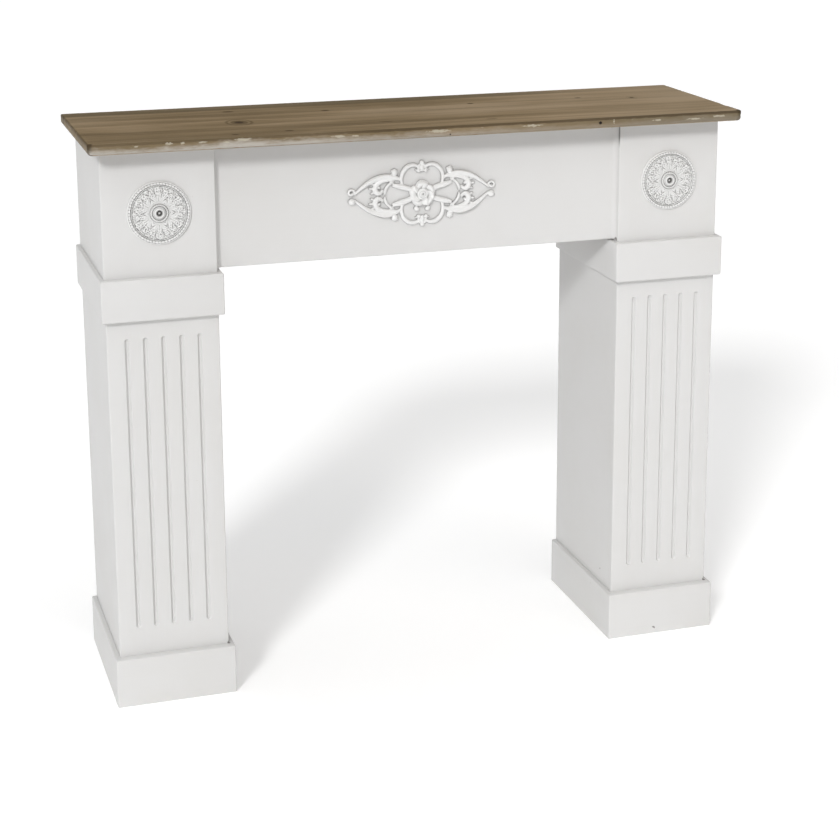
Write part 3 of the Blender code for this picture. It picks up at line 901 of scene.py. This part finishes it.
def rose_relief(across, up):
    """Extra height of the rose at a point: a wound heart inside five lapped petals, in millimetres."""
    radius = math.hypot(across, up)
    if radius > 22:
        return 0.0
    angle = math.atan2(up, across) / (2 * math.pi)
    wound = (radius / 3.9 - angle) % 1.0
    heart = 2.0 * wound ** 0.7 * (1 - step_up(wound, 0.84, 1.0)) * step_up(radius, 0.8, 2.6)
    heart -= 1.8 * bell(radius, 1.2)
    lap = (5 * angle + 0.5 + 0.045 * (radius - 9)) % 1.0
    petal = 2.4 * lap * (1 - step_up(lap, 0.88, 1.0)) + 1.7 * bell(radius - 17.5, 2.6)
    petal -= 1.3 * bell(radius - 9.6, 1.3)
    outer = step_up(radius, 8.4, 10.4)
    return (heart * (1 - outer) + petal * outer) * (1 - step_up(radius, 19.5, 22.0))


def groove_relief(across, up, paths):
    """How deep the grooves along the middle of the leaves are cut at a point."""
    depth = 0.0
    for path in paths:
        away = min((across - x) ** 2 + (up - z) ** 2 for x, z in path)
        depth = max(depth, 0.9 * bell(math.sqrt(away), 0.8))
    return depth


def frieze_scroll(material, settings):
    """The openwork scroll: strands and lobes melted into one casting, then finished by relief."""
    low, high = corners("frieze_scroll")
    middle = (low + high) / 2
    curve = bpy.data.curves.new("scroll_strands", "CURVE")
    curve.dimensions = "3D"
    curve.bevel_depth = 1.0
    curve.bevel_resolution = 3
    curve.use_fill_caps = True
    bm = bmesh.new()
    scroll_parts(bm, curve)
    drawn = put("scroll_strands", curve)
    bpy.context.view_layer.update()
    strands = evaluated(drawn)
    strand_bm = bmesh.new()
    strand_bm.from_mesh(strands)
    bmesh.ops.remove_doubles(strand_bm, verts=strand_bm.verts, dist=0.001)
    bmesh.ops.scale(strand_bm, verts=strand_bm.verts, vec=(1, STRAND_DEPTH, 1))
    strand_bm.to_mesh(strands)
    strand_bm.free()
    bm.from_mesh(strands)
    bmesh.ops.scale(bm, verts=bm.verts, vec=(MM, MM, MM))
    rough = solid("scroll_melt", bm)
    melt = rough.modifiers.new("melt", "REMESH")
    melt.mode = "VOXEL"
    melt.voxel_size = settings.scroll_cell
    relax = rough.modifiers.new("relax", "SMOOTH")
    relax.factor = 0.5
    relax.iterations = 3

    width = (high.x - low.x) / SCROLL_LENGTH
    bm = bmesh.new()
    bm.from_mesh(evaluated(rough))
    leaf_paths = [[(right * x, above * z) for x, z, _ in smooth_path(LEAF, 8)]
                  for right in (-1, 1) for above in (-1, 1)]
    hollows = []
    for vert in bm.verts:
        across, out, up = (value / MM for value in vert.co)
        if out < 0.5:
            out -= rose_relief(across, up)
            if abs(across) < 56 and 2 < abs(up) < 22:
                out += groove_relief(across, up, leaf_paths)
        # Painted shade: darker at the foot of the strands near the board, and in the deep folds of the rose
        rounded = 1 - step_up(-out, 0.5, 3.6)
        radius = math.hypot(across, up)
        deep = 1 - step_up(rose_relief(across, up), -0.6, 1.1) if radius < 18 else 0.0
        hollows.append(min(1.0, 0.75 * rounded + 0.6 * deep))
        vert.co = (middle.x + across * width, high.y + min(out - 0.4, 0.0) * width, middle.z + up * width)
    lift("frieze_scroll_carved", bm, material, "frieze_scroll", 75.0, hollows)


class MANTEL_OT_boards(bpy.types.Operator):
    """Make the painted boards of the columns, their bands and the frieze"""

    bl_idname = "mantel.boards"
    bl_label = "Painted Boards"

    def execute(self, context):
        settings = context.scene.mantel_paint
        upright = paint_finish("white_paint_upright", "Z", settings)
        lengthwise = paint_finish("white_paint_lengthwise", "X", settings)
        endwise = paint_finish("white_paint_endwise", "Y", settings)
        frieze(lengthwise, settings.arris)
        for side in SIDES:
            fluted_board(side, upright, settings.arris)
            outward, inward = ("-X", "+X") if side == "left" else ("+X", "-X")
            for place, way in (("outer", outward), ("inner", inward)):
                painted_board(f"column_{place}_{side}", (way, "+Y"), upright, settings.arris)
                for kind, ends in BANDS:
                    painted_board(f"{kind}_{place}_{side}", (way, "+Y") + ends, endwise, settings.arris)
            for kind, ends in BANDS:
                painted_board(f"{kind}_front_{side}", FRONT_AND_ENDS + ends, lengthwise, settings.arris)
        return {"FINISHED"}


class MANTEL_OT_shelf(bpy.types.Operator):
    """Make the worn wooden shelf"""

    bl_idname = "mantel.shelf"
    bl_label = "Worn Shelf"

    def execute(self, context):
        settings = context.scene.mantel_wood
        worn_shelf(wood_finish(settings), settings)
        return {"FINISHED"}


class MANTEL_OT_ornaments(bpy.types.Operator):
    """Make the two rosettes and the scroll"""

    bl_idname = "mantel.ornaments"
    bl_label = "Rosettes and Scroll"

    def execute(self, context):
        settings = context.scene.mantel_carving
        material = casting_finish(settings)
        for side in SIDES:
            rosette(side, material, settings)
        frieze_scroll(material, settings)
        return {"FINISHED"}


# The warm light: its place, what it aims at, its size and its colour
WARM_PLACE = Vector((1.5, -1.8, 2.6))
WARM_TARGET = Vector((0.4, 0, 0.5))
WARM_SIZE = 1.0
WARM_COLOUR = (1.0, 0.86, 0.74)
# Where the other lights come from, and their spread in degrees
OVERHEAD_WAY = (0, 0, 1)
OVERHEAD_SPREAD = 100
KEY_WAY = (-0.50, -0.72, 0.48)
KEY_SPREAD = 11
# Heights between which the sky fades from white to its brightness above
SKY_FADE = (0.02, 0.1)


def warm_light(power):
    """A soft warm light from the right, aimed at the mantelpiece."""
    data = bpy.data.lights.new("warm", "AREA")
    data.shape = "RECTANGLE"
    data.size = data.size_y = WARM_SIZE
    data.energy = power
    data.color = WARM_COLOUR
    lamp = put("warm", data)
    lamp.location = WARM_PLACE
    lamp.rotation_euler = (WARM_TARGET - WARM_PLACE).to_track_quat("-Z", "Y").to_euler()


def sun_light(name, way, strength, spread):
    """A light from one direction, softened by its spread in degrees."""
    data = bpy.data.lights.new(name, "SUN")
    data.energy = strength
    data.angle = math.radians(spread)
    put(name, data).rotation_euler = Vector(way).to_track_quat("Z", "Y").to_euler()


class MANTEL_OT_stage(bpy.types.Operator):
    """Set the pale floor, the soft lights and the camera"""

    bl_idname = "mantel.stage"
    bl_label = "Stage"

    def execute(self, context):
        settings = context.scene.mantel_stage
        bm = bmesh.new()
        bmesh.ops.create_grid(bm, x_segments=24, y_segments=24, size=FLOOR_REACH)
        floor = solid("floor", bm)
        floor.data.shade_smooth()
        finish = Finish("pale_floor")
        cloud = finish.grain(finish.place(), (1.5, 1.5, 1.5), detail=2.0)
        tone = finish.blend(cloud, settings.floor, [value * 0.99 for value in settings.floor])
        finish.feed(finish.shader.inputs["Base Color"], tone)
        finish.shader.inputs["Roughness"].default_value = 0.9
        finish.shader.inputs["Emission Color"].default_value = (1, 1, 1, 1)
        finish.shader.inputs["Emission Strength"].default_value = settings.floor_glow
        floor.data.materials.append(finish.material)

        world = bpy.data.worlds.new("studio")
        world.use_nodes = True
        nodes, links = world.node_tree.nodes, world.node_tree.links
        background = nodes["Background"]
        background.inputs["Color"].default_value = (1, 1, 1, 1)
        way = nodes.new("ShaderNodeTexCoord")
        parts = nodes.new("ShaderNodeSeparateXYZ")
        glow = nodes.new("ShaderNodeMapRange")
        glow.interpolation_type = "SMOOTHSTEP"
        for name, value in zip(("From Min", "From Max", "To Min", "To Max"), (*SKY_FADE, 1, settings.sky)):
            glow.inputs[name].default_value = value
        links.new(way.outputs["Generated"], parts.inputs[0])
        links.new(parts.outputs["Z"], glow.inputs["Value"])
        links.new(glow.outputs["Result"], background.inputs["Strength"])
        context.scene.world = world
        warm_light(settings.glow)
        sun_light("overhead", OVERHEAD_WAY, settings.overhead, OVERHEAD_SPREAD)
        sun_light("key", KEY_WAY, settings.key, KEY_SPREAD)

        data = bpy.data.cameras.new("camera")
        data.lens = settings.focal_length
        data.shift_x = settings.shift_across
        data.shift_y = settings.shift_up
        data.dof.use_dof = False
        camera = put("camera", data)
        camera.location = settings.camera_place
        camera.rotation_euler = (math.radians(90) - settings.camera_tilt, 0, -settings.camera_turn)
        context.scene.camera = camera
        context.scene.view_settings.view_transform = "Standard"
        return {"FINISHED"}


class MANTEL_PT_panel(bpy.types.Panel):
    """Lists the steps and the main values"""

    bl_label = "Mantelpiece"
    bl_idname = "MANTEL_PT_panel"
    bl_space_type = "VIEW_3D"
    bl_region_type = "UI"
    bl_category = "Mantelpiece"

    def draw(self, context):
        layout = self.layout
        for step in OPERATORS:
            layout.operator(step.bl_idname)
        for group in SETTINGS:
            values = getattr(context.scene, group)
            for name in values.__annotations__:
                layout.prop(values, name)


SETTINGS = {
    "mantel_paint": PaintSettings,
    "mantel_wood": WoodSettings,
    "mantel_carving": CarvingSettings,
    "mantel_stage": StageSettings,
}
OPERATORS = (MANTEL_OT_boards, MANTEL_OT_shelf, MANTEL_OT_ornaments, MANTEL_OT_stage)
CLASSES = (*SETTINGS.values(), *OPERATORS, MANTEL_PT_panel)


def register():
    """Registers the classes and their settings."""
    for item in CLASSES:
        bpy.utils.register_class(item)
    for name, group in SETTINGS.items():
        setattr(bpy.types.Scene, name, PointerProperty(type=group))


def unregister():
    """Takes the settings and the classes away again."""
    for name in SETTINGS:
        delattr(bpy.types.Scene, name)
    for item in reversed(CLASSES):
        bpy.utils.unregister_class(item)


def main():
    """Dresses the mantelpiece."""
    register()
    bpy.ops.mantel.boards()
    bpy.ops.mantel.shelf()
    bpy.ops.mantel.ornaments()
    bpy.ops.mantel.stage()


if __name__ == "__main__":
    main()
